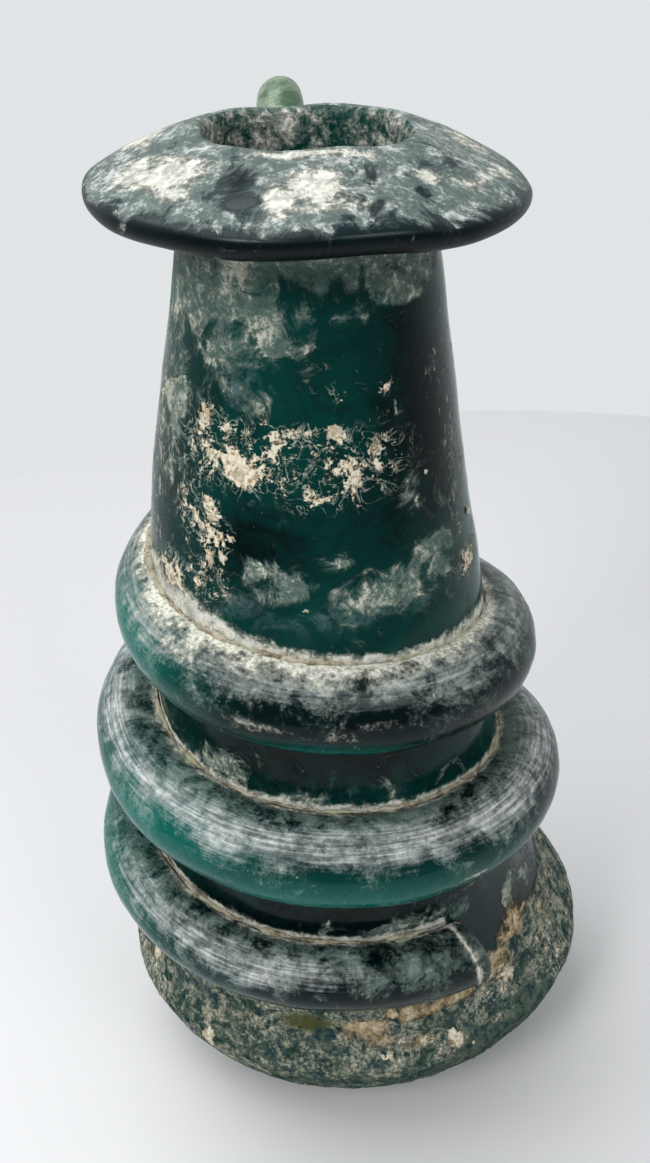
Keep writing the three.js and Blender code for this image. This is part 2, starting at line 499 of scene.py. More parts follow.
tan_on_wall = [
    (1, 21.4, 4.0, 1.8, 1.1),
    (14, 22.8, 5.0, 1.5, 1.1),
    (4, 19.6, 2.6, 1.2, 1.0),
    (14, 18.8, 2.4, 1.2, 0.9),
    (26, 23.4, 5.0, 2.0, 1.15),
    (38, 24.6, 5.0, 2.4, 1.15),
    (50, 26.4, 4.0, 2.2, 1.0),
    (54, 28.0, 4.4, 2.6, 0.95),
    (66, 24.0, 3.0, 3.0, 0.8),
    (-38, 14.4, 1.4, 1.0, 0.8),
    (-68, 19.0, 2.6, 2.6, 0.7),
    (22, 17.8, 1.4, 1.6, 1.0),
    (120, 22.0, 6.0, 3.0, 0.8),
    (-140, 20.0, 7.0, 3.0, 0.8),
]
haze_on_wall = [
    (14, 78.8, 12.0, 2.6, 1.0),
    (-22, 79.6, 6.0, 2.2, 1.0),
    (-28, 103.0, 4.0, 5.0, 0.8),
    (38, 13.5, 12.0, 5.0, 1.0),
    (-8, 12.0, 9.0, 4.0, 0.6),
    (0, 58.0, 16.0, 4.0, 0.7),
    (-150, 100.0, 12.0, 14.0, 0.7),
    (100, 50.0, 14.0, 10.0, 0.6),
]
# Darker glass: partly the glass's own deep tone, partly painted shade in the hollows between the
# coils and down the right side of the neck and the belly
dark_glass_and_shade_on_wall = [
    (48, 98.0, 7.0, 16.0, 1.0),
    (30, 90.0, 7.0, 8.0, 0.6),
    (-22, 86.0, 6.0, 4.0, 0.9),
    (-60, 94.0, 5.0, 14.0, 0.6),
    (8, 62.0, 26.0, 6.0, 0.85),
    (0, 40.0, 26.0, 4.0, 0.95),
    (62, 31.0, 12.0, 8.0, 1.0),
    (150, 60.0, 20.0, 20.0, 0.6),
]
olive_on_wall = [(-14, 22.2, 4.6, 1.9, 1.0)]
streaks_on_wall = [
    (-72, 94.0, 5.0, 20.0, 1.0),
    (-50, 90.0, 5.0, 9.0, 0.7),
    (66, 93.0, 4.0, 14.0, 0.9),
    (55, 101.0, 3.0, 4.0, 0.6),
    (30, 96.0, 4.0, 7.0, 0.55),
    (100, 92.0, 8.0, 16.0, 0.8),
    (-120, 92.0, 10.0, 16.0, 0.8),
    (170, 96.0, 12.0, 14.0, 0.6),
]

# The same on the crown of the rim: degrees, radius, half width, half depth and amount
cream_on_crown = [
    (-66, 17.2, 5.0, 3.0, 1.0),
    (-52, 15.6, 6.0, 3.4, 1.0),
    (-40, 17.8, 3.0, 2.0, 0.85),
    (-9, 17.4, 2.8, 3.0, 1.0),
    (2, 16.0, 4.0, 3.4, 1.0),
    (11, 17.6, 2.4, 2.4, 0.85),
    (40, 15.4, 3.6, 1.8, 0.9),
    (56, 17.6, 5.0, 2.6, 0.7),
    (74, 18.4, 4.0, 2.0, 0.8),
    (-4, 11.4, 7.0, 0.8, 1.0),
    (22, 12.0, 4.0, 0.7, 0.85),
    (-100, 16.0, 8.0, 4.0, 0.9),
    (100, 16.0, 8.0, 4.0, 0.75),
    (170, 15.0, 9.0, 4.0, 0.85),
]
dark_on_crown = [
    (-24, 15.0, 2.0, 2.4, 1.0),
    (-20, 18.0, 2.4, 1.6, 0.9),
    (-2, 18.6, 1.2, 1.0, 0.9),
    (16, 18.2, 2.0, 1.6, 0.9),
    (20, 15.4, 1.8, 1.8, 0.7),
    (34, 17.2, 0.9, 3.4, 0.8),
    (60, 14.6, 3.0, 1.8, 0.6),
    (-84, 18.4, 3.0, 2.0, 0.6),
    (130, 15.0, 4.0, 3.0, 0.8),
]
per_square_mm = 1e6
soil_reach = 0.0264
soil_rise_at_right = 0.0022


def soil_height(degrees):
    """How high the rough soil reaches up the belly: to the trail, and higher at the right."""
    turns = np.radians(degrees)
    uneven = 0.0011 * np.sin(3 * turns + 1.2) + 0.0007 * np.sin(8 * turns + 0.4)
    return soil_reach + soil_rise_at_right * hump(degrees, 84, 30) + uneven


def painted(points, levels, patches):
    """The largest amount of any patch at each point."""
    around = np.degrees(np.arctan2(points[:, 0], -points[:, 1]))
    radius = np.hypot(points[:, 0], points[:, 1])
    amounts = np.zeros(len(points))
    for degrees, level, half_width, half_height, amount in patches:
        across = np.radians((around - degrees + 180) % 360 - 180) * radius / half_width
        along = (levels - level / 1000) / half_height
        near = np.exp(-(across**2 + along**2) * per_square_mm)
        amounts = np.maximum(amounts, amount * near)
    return amounts


crown_foot = neck_top_height + 0.002
mouth_foot = neck_top_height - 0.004
outer_rim = 0.017
under_rim_height = 0.1128
rim_band_foot = (0.1146, 0.1154)
rim_band_top = (0.1166, 0.1190)
# Height of a painted highlight along the front of the rim's upper edge
lip_highlight_height = 0.1190
mouth_film = 0.50
mouth_cream = 0.66
inside_film = 0.1

places = points_of(vessel)
radii = np.hypot(places[:, 0], places[:, 1])
heights = places[:, 2]
degrees_round = np.degrees(np.arctan2(places[:, 0], -places[:, 1]))
inner_radius = np.where(
    heights > neck_top_height,
    lip_radius - lip_thickness / 2,
    wall_radius(heights) - wall_thickness / 2,
)
inside = (radii < inner_radius) & (heights > floor_thickness / 2)
crown = (heights > crown_foot) & ~inside
wall = ~inside & ~crown
mouth = inside & (heights > mouth_foot)
rim_band = smooth(heights, *rim_band_foot) * (1 - smooth(heights, *rim_band_top))
rim_band = rim_band * (radii > outer_rim)

dark = painted(places, radii, dark_on_crown)
film = np.where(crown, 1.0 - 0.6 * dark, painted(places, heights, film_on_wall))
under_rim = hump(heights, under_rim_height, 0.0014) * (radii < outer_rim)
film = np.clip(np.maximum(film, 0.8 * under_rim * wall) - rim_band, 0, 1.1)
above, turn_there = above_trail(places)
wide = hump(degrees_round, -55, 34) + 0.5 * hump(degrees_round, 66, 24)
smear_width = np.where(turn_there < 0.8, 0.0012 + 0.0034 * wide, 0.0009)
smear = np.where(wall, hump(np.maximum(above, 0), 0, smear_width), 0)
# A pale line along the front of the rim's upper edge is a painted highlight, carried in the cream
lip_highlight = hump(heights, lip_highlight_height, 0.0004) * hump(degrees_round, 6, 30)
crown_cream_and_highlight = 1.1 * painted(places, radii, cream_on_crown) - 0.6 * dark
crown_cream_and_highlight = np.maximum(crown_cream_and_highlight, 0.8 * lip_highlight * (radii > outer_rim))
cream = np.where(crown, crown_cream_and_highlight, smear)
cream = np.where(inside, 0, np.clip(cream - rim_band, 0, 1))
mark(vessel, "film", np.where(mouth, mouth_film, np.where(inside, inside_film, film)))
mark(vessel, "cream", np.where(mouth, mouth_cream, cream))
crust = painted(places, heights, crust_on_wall) * wall
mark(vessel, "crust", crust)
soil_line = soil_height(degrees_round)
soil = 1 - smooth(heights, soil_line - 0.0026, soil_line + 0.0030)
soil = np.clip(soil - painted(places, heights, bare_on_wall), 0, 1) * wall
mark(vessel, "soil", soil)
spots_on_wall = {
    "tan": tan_on_wall,
    "haze": haze_on_wall,
    "streaks": streaks_on_wall,
    "olive": olive_on_wall,
}
for name, patches in spots_on_wall.items():
    mark(vessel, name, painted(places, heights, patches) * wall)
# The inner walls under the mouth, which the glass colour paints darker: painted shade inside the
# hollow
mark(vessel, "inside", inside * 1.0 - mouth * 1.0)
mark(vessel, "rim", crown * 1.0)
mark(vessel, "satin", rim_band)
# Darker glass: the bare glass between the chalk on the crown, the clean band under the rim's edge,
# and on the wall partly painted shade between the coils and on the right side
dark_glass_and_shade = np.where(crown, dark, painted(places, heights, dark_glass_and_shade_on_wall) * ~inside)
mark(vessel, "dark_glass_and_shade", np.maximum(dark_glass_and_shade, rim_band))

# Hand work shows as low waves in the wall, dents in the rim and a crease across its crown.
crease_angle = math.radians(31)
crease_radius = 0.0143
crease_slant = 12
crease_width = 0.0011
crease_depth = 0.00045

rim_share = smooth(heights, 0.108, 0.118)
around = np.arctan2(places[:, 0], -places[:, 1])
swell = 1 + rim_share * (0.012 * np.sin(2 * around + 0.6) + 0.006 * np.sin(5 * around + 2.1))
from_crease = (around - crease_angle - (radii - crease_radius) * crease_slant) * radii
crease = hump(from_crease, 0, crease_width)
drop = crown * crease * smooth(radii, 0.0115, 0.0135) * crease_depth
dip = rim_share * (0.00026 * np.sin(3 * around + 1.0) + 0.00010 * np.sin(7 * around))
places = np.column_stack([places[:, 0] * swell, places[:, 1] * swell, heights + dip - drop])
move_points(vessel, settle(places))
wall_waves = clouds("wall_waves", 0.018)
apply_modifier(vessel, "DISPLACE", texture=wall_waves, strength=0.0007, mid_level=0.5)

# Crust and soil stand proud of the glass, and the foot still stands flat on the table.
least_lump = 0.2

vessel.vertex_groups.new(name="lumps")
lumpy = np.clip(np.maximum(crust, 0.6 * soil) * smooth(heights, 0.0005, 0.003), 0, 1)
for index in np.nonzero(lumpy > least_lump)[0]:
    vessel.vertex_groups["lumps"].add([int(index)], float(lumpy[index]), "REPLACE")
apply_modifier(
    vessel,
    "DISPLACE",
    texture=clouds("crust_lumps", 0.0022, 3),
    strength=0.0008,
    mid_level=0.45,
    vertex_group="lumps",
)
places = points_of(vessel)
places[:, 2] = np.maximum(places[:, 2], 0)
move_points(vessel, places)


def threshold(tree, value, low, high, to=1.0):
    """A smooth step on a value, from 0 to the given amount."""
    step = node(
        tree,
        "MapRange",
        {"Value": value, "From Min": low, "From Max": high, "To Max": to},
        interpolation_type="SMOOTHSTEP",
    )
    return step.outputs["Result"]


def math_node(tree, operation, first, second=0.0):
    """One sum or other operation on two numbers."""
    return node(tree, "Math", {0: first, 1: second}, operation=operation).outputs[0]


def blend(tree, amount, first, second):
    """Mixes two colours."""
    mixed = node(tree, "Mix", {0: amount, 6: first, 7: second}, data_type="RGBA")
    return mixed.outputs[2]


def blend_value(tree, amount, first, second):
    """Mixes two numbers."""
    return node(tree, "Mix", {0: amount, 2: first, 3: second}, data_type="FLOAT").outputs[0]


def pattern(tree, vector, scale, detail=4.0, roughness=0.6, distortion=0.0):
    """A cloudy pattern, its middle at 0.5."""
    made = node(
        tree,
        "TexNoise",
        {
            "Vector": vector,
            "Scale": scale,
            "Detail": detail,
            "Roughness": roughness,
            "Distortion": distortion,
        },
    )
    return made.outputs["Fac"]


def amount_of(tree, name):
    """The number that a piece's vertices carry under a name."""
    return node(tree, "Attribute", attribute_name=name).outputs["Fac"]


def add(tree, first, second):
    """The sum of two numbers."""
    return math_node(tree, "ADD", first, second)


def times(tree, first, second):
    """The product of two numbers."""
    return math_node(tree, "MULTIPLY", first, second)


def most(tree, first, *others):
    """The largest of some numbers."""
    largest = first
    for other in others:
        largest = math_node(tree, "MAXIMUM", largest, other)
    return largest


def weighed(tree, *parts):
    """The sum of some numbers, each one given with its weight."""
    total = None
    for value, weight in parts:
        part = value if weight == 1 else times(tree, value, weight)
        total = part if total is None else add(tree, total, part)
    return total


def two_tones(tree, value, low, high, first, second):
    """A colour that turns from the first to the second while a number rises."""
    return blend(tree, threshold(tree, value, low, high), first, second)


def relief(tree, height, distance, strength):
    """The normal of a surface with a fine relief."""
    bump = node(tree, "Bump", {"Height": height, "Distance": distance, "Strength": strength})
    return bump.outputs["Normal"]


def stretched(tree, place, scale, turn=(0, 0, 0)):
    """A pattern's coordinates, turned and then scaled along each axis."""
    mapping = node(tree, "Mapping", {"Vector": place, "Rotation": turn, "Scale": scale})
    return mapping.outputs["Vector"]


glass_ior = 1.5
teal_passing = (0.0, 0.70, 0.62, 1)
vessel_density = 700.0
glass_teal = (0.0, 0.104, 0.088, 1)
# Darker teal for the inner walls: painted shade inside the hollow
inside_shade_teal = (0.0, 0.03, 0.025, 1)
# Dark teal for darker glass, also used as painted shade
dark_teal_and_shade = (0.0, 0.012, 0.014, 1)
rim_teal = (0.018, 0.036, 0.044, 1)
haze_grey = (0.20, 0.265, 0.275, 1)
veil_green = (0.15, 0.24, 0.21, 1)
veil_grey = (0.20, 0.235, 0.24, 1)
film_green = (0.25, 0.32, 0.28, 1)
film_cream = (0.66, 0.65, 0.55, 1)
film_grey = (0.56, 0.56, 0.56, 1)
streak_cream = (0.50, 0.50, 0.43, 1)
wet_soil_green = (0.020, 0.050, 0.040, 1)
wet_soil_blue = (0.022, 0.050, 0.072, 1)
grain_green = (0.140, 0.175, 0.140, 1)
dry_soil_brown = (0.26, 0.27, 0.20, 1)
dry_soil_cream = (0.60, 0.57, 0.46, 1)
tan_brown = (0.22, 0.155, 0.08, 1)
tan_cream = (0.66, 0.57, 0.40, 1)
olive_brown = (0.100, 0.108, 0.040, 1)
cream_grey = (0.38, 0.39, 0.34, 1)
cream_white = (0.76, 0.75, 0.68, 1)
thread_cream = (0.52, 0.54, 0.46, 1)
crust_brown = (0.40, 0.29, 0.17, 1)
crust_cream = (0.80, 0.75, 0.61, 1)

vessel_finish, tree, place = new_finish("weathered_teal_glass")
broad = pattern(tree, place, 210, 9, 0.70, 0.9)
grain = pattern(tree, place, 640, 7, 0.76, 0.3)
fine = pattern(tree, place, 2100, 4, 0.75)
cloud = pattern(tree, place, 120, 6, 0.66, 1.2)
specks = pattern(tree, stretched(tree, place, (1700, 1700, 650)), 1.0, 4, 0.72)

# White film and the thinner veil round it, then haze and cream
film_level = weighed(tree, (broad, 1), (amount_of(tree, "film"), 0.30), (grain, 0.16))
film_body = weighed(tree, (grain, 0.55), (fine, 0.35), (cloud, 0.30))
film = threshold(tree, film_level, 0.715, 0.785)
film = times(tree, film, threshold(tree, film_body, 0.44, 0.70))
veil = threshold(tree, film_level, 0.66, 0.78, 0.50)
haze_amount = amount_of(tree, "haze")
haze_level = weighed(tree, (cloud, 1), (haze_amount, 0.24))
haze = threshold(tree, haze_level, 0.60, 0.80, 0.66)
haze = times(tree, haze, threshold(tree, grain, 0.38, 0.64))
cream_level = weighed(
    tree, (grain, 0.5), (broad, 0.35), (amount_of(tree, "cream"), 0.50), (fine, 0.20)
)
cream = threshold(tree, cream_level, 0.78, 0.96)

# Crust, the fine threads that it leaves round it, speckles, scratches and upright streaks
crust_amount = amount_of(tree, "crust")
crust_level = weighed(tree, (grain, 0.85), (broad, 0.35), (crust_amount, 0.35), (fine, 0.30))
crust = threshold(tree, crust_level, 0.930, 0.965)
thread_field = pattern(tree, place, 330, 5, 0.62, 1.6)
thread_field = math_node(tree, "ABSOLUTE", math_node(tree, "SUBTRACT", thread_field, 0.5))
threads = threshold(tree, thread_field, 0.026, 0.006)
near_crust = threshold(tree, weighed(tree, (crust_amount, 1), (broad, 0.5)), 0.34, 0.62)
threads = times(tree, threads, times(tree, near_crust, threshold(tree, grain, 0.34, 0.54)))
speckles = weighed(tree, (fine, 0.5), (grain, 0.5), (crust_amount, 0.12))
threads = most(tree, threads, threshold(tree, speckles, 0.645, 0.70, 0.8))
scratches = pattern(tree, stretched(tree, place, (90, 90, 4200), (0, 0.55, 0)), 1.0, 2, 0.5)
scratches = threshold(tree, scratches, 0.70, 0.73, 0.6)
scratches = times(tree, scratches, threshold(tree, broad, 0.50, 0.62))
streak_level = weighed(tree, (specks, 0.70), (grain, 0.45), (amount_of(tree, "streaks"), 0.17))
streaks = threshold(tree, streak_level, 0.73, 0.81, 0.85)

# Rough soil on the belly, with tan and olive spots
tan_amount = amount_of(tree, "tan")
soil = weighed(tree, (amount_of(tree, "soil"), 1), (grain, 0.5))
soil = threshold(tree, soil, 0.45, 0.85)
soil_mix = weighed(tree, (grain, 0.70), (fine, 0.30))
soil_grey = times(tree, threshold(tree, soil_mix, 0.38, 0.60), soil)
soil_level = weighed(tree, (soil_mix, 0.8), (broad, 0.45), (haze_amount, -0.14), (tan_amount, 0.08))
soil_pale = times(tree, threshold(tree, soil_level, 0.585, 0.74, 0.95), soil)
tan_level = weighed(tree, (broad, 0.6), (grain, 0.35), (tan_amount, 0.36))
tan = threshold(tree, tan_level, 0.64, 0.78)
olive_level = weighed(tree, (amount_of(tree, "olive"), 1), (grain, 1))
olive = threshold(tree, olive_level, 0.96, 1.36, 0.90)

# The glass, and over it each layer in the order in which it lies on the one before
on_rim = amount_of(tree, "rim")
# The inner walls under the mouth are painted darker: painted shade inside the hollow
glass_colour = blend(tree, amount_of(tree, "inside"), glass_teal, inside_shade_teal)
# Darker glass, on the wall partly painted shade between the coils and on the right side
dark_glass_and_shade = weighed(tree, (amount_of(tree, "dark_glass_and_shade"), 1), (threshold(tree, broad, 0.40, 0.66), 0.5))
glass_colour = blend(tree, dark_glass_and_shade, glass_colour, dark_teal_and_shade)
glass_colour = blend(tree, times(tree, on_rim, 0.75), glass_colour, rim_teal)
colour = blend(tree, haze, glass_colour, haze_grey)
colour = blend(tree, veil, colour, blend(tree, on_rim, veil_green, veil_grey))
film_light = blend(tree, on_rim, film_cream, film_grey)
colour = blend(tree, film, colour, two_tones(tree, film_body, 0.56, 0.74, film_green, film_light))
colour = blend(tree, streaks, colour, streak_cream)
soil_dark = two_tones(tree, cloud, 0.42, 0.58, wet_soil_green, wet_soil_blue)
colour = blend(tree, times(tree, soil, 0.9), colour, soil_dark)
colour = blend(tree, soil_grey, colour, grain_green)
soil_light = two_tones(tree, fine, 0.40, 0.62, dry_soil_brown, dry_soil_cream)
colour = blend(tree, soil_pale, colour, soil_light)
colour = blend(tree, tan, colour, two_tones(tree, soil_mix, 0.42, 0.62, tan_brown, tan_cream))
colour = blend(tree, olive, colour, olive_brown)
colour = blend(tree, cream, colour, two_tones(tree, soil_mix, 0.40, 0.60, cream_grey, cream_white))
colour = blend(tree, most(tree, threads, scratches), colour, thread_cream)
colour = blend(tree, crust, colour, two_tones(tree, fine, 0.38, 0.56, crust_brown, crust_cream))

cover = most(tree, film, haze, streaks, cream, soil, crust, tan, veil, threads)
clear = times(tree, math_node(tree, "SUBTRACT", 1.0, cover), 0.5)
dull = most(tree, cover, times(tree, amount_of(tree, "satin"), 0.32))
height = weighed(
    tree,
    (most(tree, crust, tan), 1.4),
    (cream, 0.4),
    (times(tree, soil_mix, soil), 2.6),
    (film, 0.2),
    (times(tree, fine, cover), 0.8),
)
absorb = node(tree, "VolumeAbsorption", {"Color": teal_passing, "Density": vessel_density})
surface(
    tree,
    {
        "Base Color": colour,
        "Roughness": blend_value(tree, dull, 0.12, 0.85),
        "Transmission Weight": clear,
        "IOR": glass_ior,
        "Specular IOR Level": 0.05,
        "Normal": relief(tree, height, 0.0002, 0.9),
    },
    absorb.outputs["Volume"],
)
vessel.data.materials.append(vessel_finish)
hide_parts("vessel")
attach(vessel, "root")

# The trail is one thick rod of hot teal glass, wound left-handed round the neck's foot and the
# shoulder. It starts thin in the wall behind the neck and is cut off blunt at the front right.
laid_gap = 0.00012
winding_points = 400
rod_sides = 22
rod_rings = (5, 42)
end_dome = 0.0007
end_inset = 0.0012


def trail_line(turns):
    """Middle of the rod at each turn."""
    radius = wall_radius(trail_height(turns)) + trail_lift(turns)
    angle = math.pi + math.tau * turns
    return np.column_stack([radius * np.cos(angle), radius * np.sin(angle), trail_height(turns)])


def rod(name, radius, length, sides, rings):
    """A straight rod along +X, cut into rings in steps."""
    bpy.ops.object.select_all(action="DESELECT")
    bpy.ops.mesh.primitive_cylinder_add(
        vertices=sides,
        radius=radius,
        depth=length,
        location=(length / 2, 0, 0),
        rotation=(0, math.pi / 2, 0),
    )
    bpy.ops.object.transform_apply(location=True, rotation=True)
    bpy.context.tool_settings.mesh_select_mode = (False, True, False)
    made = start_edit(name)
    for cuts in rings:
        bpy.ops.mesh.select_all(action="DESELECT")
        bpy.ops.object.mode_set(mode="OBJECT")
        for edge in made.data.edges:
            ends = [made.data.vertices[i].co.x for i in edge.vertices]
            edge.select = abs(ends[0] - ends[1]) > 1e-5
        bpy.ops.object.mode_set(mode="EDIT")
        bpy.ops.mesh.subdivide(number_cuts=cuts)
    bpy.ops.object.mode_set(mode="OBJECT")
    return made


def round_end(made, at, reach, inset):
    """Domes the end face of a rod that lies at x."""
    bpy.context.tool_settings.mesh_select_mode = (False, False, True)
    bpy.ops.object.mode_set(mode="EDIT")
    bpy.ops.mesh.select_all(action="DESELECT")
    bpy.ops.object.mode_set(mode="OBJECT")
    for polygon in made.data.polygons:
        polygon.select = abs(polygon.center.x - at) < 1e-5 and abs(polygon.normal.x) > 0.9
    bpy.ops.object.mode_set(mode="EDIT")
    for share in (1.0, 0.5, 0.2):
        bpy.ops.mesh.inset(thickness=inset)
        bpy.ops.transform.translate(value=(reach * share, 0, 0))
    bpy.ops.object.mode_set(mode="OBJECT")


def wind(made, line, name):
    """Winds a straight rod along a line, its top kept up, and takes the line away."""
    data = bpy.data.curves.new(name, "CURVE")
    data.dimensions = "3D"
    data.twist_mode = "Z_UP"
    data.use_stretch = True
    data.use_deform_bounds = True
    track = data.splines.new("POLY")
    track.points.add(len(line) - 1)
    track.points.foreach_set("co", np.column_stack([line, np.ones(len(line))]).ravel())
    guide = bpy.data.objects.new(name, data)
    bpy.context.scene.collection.objects.link(guide)
    apply_modifier(made, "CURVE", object=guide, deform_axis="POS_X")
    bpy.data.objects.remove(guide)


def finish_rod(made):
    """Rounds a rod's facets."""
    apply_modifier(made, "SUBSURF", levels=1, render_levels=1)
    bpy.ops.object.shade_smooth()


def mark_winding(made, radius):
    """Marks where each point lies along and round a straight rod, and gives both."""
    straight = points_of(made)
    turned = np.arctan2(straight[:, 2], -straight[:, 1])
    mark(made, "winding", np.column_stack([straight[:, 0], turned * radius, 0 * turned]))
    return straight[:, 0], turned


def length_of(line):
    """How long a line is."""
    return float(np.linalg.norm(np.diff(line, axis=0), axis=1).sum())


winding = trail_line(np.linspace(trail_start_turn, trail_end_turn, winding_points))
winding_length = length_of(winding)
trail = rod("trail_glass", trail_radius, winding_length, rod_sides, rod_rings)
round_end(trail, winding_length, end_dome, end_inset)
finish_rod(trail)
along_rod, turned_up = mark_winding(trail, trail_radius)
rod_turns = trail_start_turn + along_rod / winding_length * (trail_end_turn - trail_start_turn)
wind(trail, winding, "winding_path")


def lay_on_wall(points, gap):
    """Presses points that would lie in the wall out to its surface."""
    radius = np.hypot(points[:, 0], points[:, 1])
    share = np.maximum(radius, wall_radius(points[:, 2]) + gap) / radius
    return np.column_stack([points[:, 0] * share, points[:, 1] * share, points[:, 2]])


# Patches on the rod: turn, degrees up from outwards, half length and half width in millimetres,
# and amount
streaks_on_rod = [
    (0.05, 62, 14.0, 3.2, 0.75),
    (0.25, 55, 16.0, 3.0, 0.7),
    (0.45, 45, 14.0, 4.0, 0.8),
    (0.62, 30, 12.0, 4.5, 0.7),
    (0.85, 50, 14.0, 4.0, 0.7),
    (1.04, 45, 8.0, 3.6, 0.85),
    (1.16, 55, 9.0, 3.0, 0.95),
    (1.28, 52, 10.0, 3.0, 1.0),
    (1.4, 45, 10.0, 4.0, 0.85),
    (1.55, 25, 12.0, 5.0, 0.65),
    (1.8, 45, 16.0, 4.0, 0.75),
    (2.06, 50, 7.0, 4.0, 0.85),
    (2.18, 45, 8.0, 2.6, 0.95),
]
cream_on_rod = [
    (0.02, 55, 5.0, 2.0, 0.85),
    (0.08, 30, 3.0, 1.6, 0.7),
    (0.14, -5, 2.6, 1.2, 0.8),
    (0.085, -2, 3.8, 1.2, 0.95),
    (0.16, 12, 6.0, 1.2, 0.7),
    (0.25, 66, 14.0, 1.4, 0.55),
    (0.38, 8, 4.0, 1.0, 0.8),
    (0.5, -10, 3.0, 1.4, 0.75),
    (1.22, -18, 4.0, 0.5, 0.85),
    (1.3, -20, 2.0, 0.5, 0.8),
    (1.4, 10, 3.0, 1.2, 0.75),
    (2.16, -42, 2.6, 0.8, 1.0),
    (2.22, -40, 2.4, 0.7, 0.85),
    (2.1, 0, 2.0, 0.8, 0.8),
    (0.75, 20, 8.0, 2.4, 0.7),
    (1.75, 0, 9.0, 2.6, 0.7),
]
# Painted light: bright teal on the rod's lower and left flanks, where light passing through the
# glass shows
glow_on_rod = [
    (-0.03, -5, 8.0, 7.0, 1.0),
    (0.98, -5, 12.0, 6.0, 1.0),
    (1.1, -34, 21.0, 4.2, 1.0),
    (0.131, -40, 6.5, 1.5, 1.0),
    (2.0, -5, 12.0, 6.0, 1.0),
    (2.06, -30, 12.0, 4.0, 1.0),
    (1.5, 60, 9.0, 3.0, 0.7),
    (0.8, -20, 14.0, 6.0, 0.8),
    (1.75, -30, 14.0, 5.0, 0.7),
]


def painted_rod(patches):
    """The largest amount of any patch at each point of the rod."""
    amounts = np.zeros(len(rod_turns))
    turn_length = winding_length / (trail_end_turn - trail_start_turn)
    for turn, degrees, half_length, half_width, amount in patches:
        along = (rod_turns - turn) * turn_length / half_length
        across = (turned_up - math.radians(degrees)) * trail_radius / half_width
        near = np.exp(-(along**2 + across**2) * per_square_mm)
        amounts = np.maximum(amounts, amount * near)
    return amounts


end_cap = 2.34
crest_angle = math.radians(56)
crest_width = 0.0032

wound = points_of(trail)
over_wall = np.hypot(wound[:, 0], wound[:, 1]) - wall_radius(wound[:, 2])
laid = lay_on_wall(wound, laid_gap)
near_width = 0.0013 + 0.0030 * hump(rod_turns, 0.10, 0.22)
near_wall = hump(np.maximum(over_wall, 0), 0, near_width)
mark(trail, "contact", 1 - smooth(over_wall, -0.0004, 0.0002))
end_line = 0.9 * hump(rod_turns, end_cap, 0.0040)
end_line += 0.25 * smooth(rod_turns, end_cap - 0.004, end_cap + 0.004)
cream = np.maximum(near_wall * (turned_up > 0.4), painted_rod(cream_on_rod))
mark(trail, "cream", np.maximum(cream, end_line))
# A pale band of streaked film along the rod's crest, partly a painted highlight where the lights
# catch the rounded top
crest_film_and_highlight = 0.90 * hump((turned_up - crest_angle) * trail_radius, 0, crest_width)
crest_film_and_highlight *= 1 - 0.7 * smooth(rod_turns, 2.21, 2.28)
crest_film_and_highlight *= 1 - 0.30 * hump(rod_turns, 0.22, 0.30)
crest_film_and_highlight *= 1 - 0.55 * hump(rod_turns, 1.94, 0.10)
mark(trail, "streaks", np.maximum(crest_film_and_highlight, painted_rod(streaks_on_rod)))
mark(trail, "painted_glow", painted_rod(glow_on_rod))
mark(trail, "dust", smooth(turned_up, -0.1, 1.0))
move_points(trail, settle(laid))
trail_waves = clouds("trail_waves", 0.011)
apply_modifier(trail, "DISPLACE", texture=trail_waves, strength=0.0005, mid_level=0.5)

rod_density = 520.0
rod_dark = (0.0, 0.014, 0.016, 1)
# Bright teal painted where light shows through the rod
rod_glow_teal = (0.0, 0.34, 0.275, 1)
contact_dark = (0.0, 0.012, 0.011, 1)
dust_green = (0.24, 0.32, 0.285, 1)
streak_grey = (0.21, 0.225, 0.225, 1)
streak_white = (0.66, 0.69, 0.68, 1)
rod_cream_grey = (0.36, 0.37, 0.31, 1)
rod_cream_white = (0.76, 0.75, 0.66, 1)

trail_finish, tree, place = new_finish("streaked_teal_glass")
winding_place = node(tree, "Attribute", attribute_name="winding").outputs["Vector"]
lines = pattern(tree, stretched(tree, winding_place, (150, 2300, 1)), 1.0, 5, 0.7, 0.2)
broad = pattern(tree, place, 230, 8, 0.70, 0.6)
grain = pattern(tree, place, 800, 6, 0.76)
fine = pattern(tree, place, 2400, 3, 0.7)

# White streaks drawn out along the rod, along its crest partly a painted highlight, grey-green dust
# on its upper side, cream and dots
streak_level = weighed(
    tree, (lines, 0.30), (broad, 0.45), (amount_of(tree, "streaks"), 0.36), (grain, 0.30)
)
streaks = threshold(tree, streak_level, 0.62, 0.96, 0.94)
dust_level = weighed(
    tree, (broad, 0.8), (grain, 0.4), (fine, 0.25), (amount_of(tree, "dust"), 0.14)
)
dust = threshold(tree, dust_level, 0.72, 0.98, 0.75)
cream_level = weighed(tree, (grain, 0.6), (broad, 0.4), (amount_of(tree, "cream"), 0.42))
cream = threshold(tree, cream_level, 0.70, 0.90)
dots = threshold(tree, weighed(tree, (grain, 0.7), (fine, 0.5)), 0.745, 0.78, 0.7)
crusted = most(tree, cream, dots)

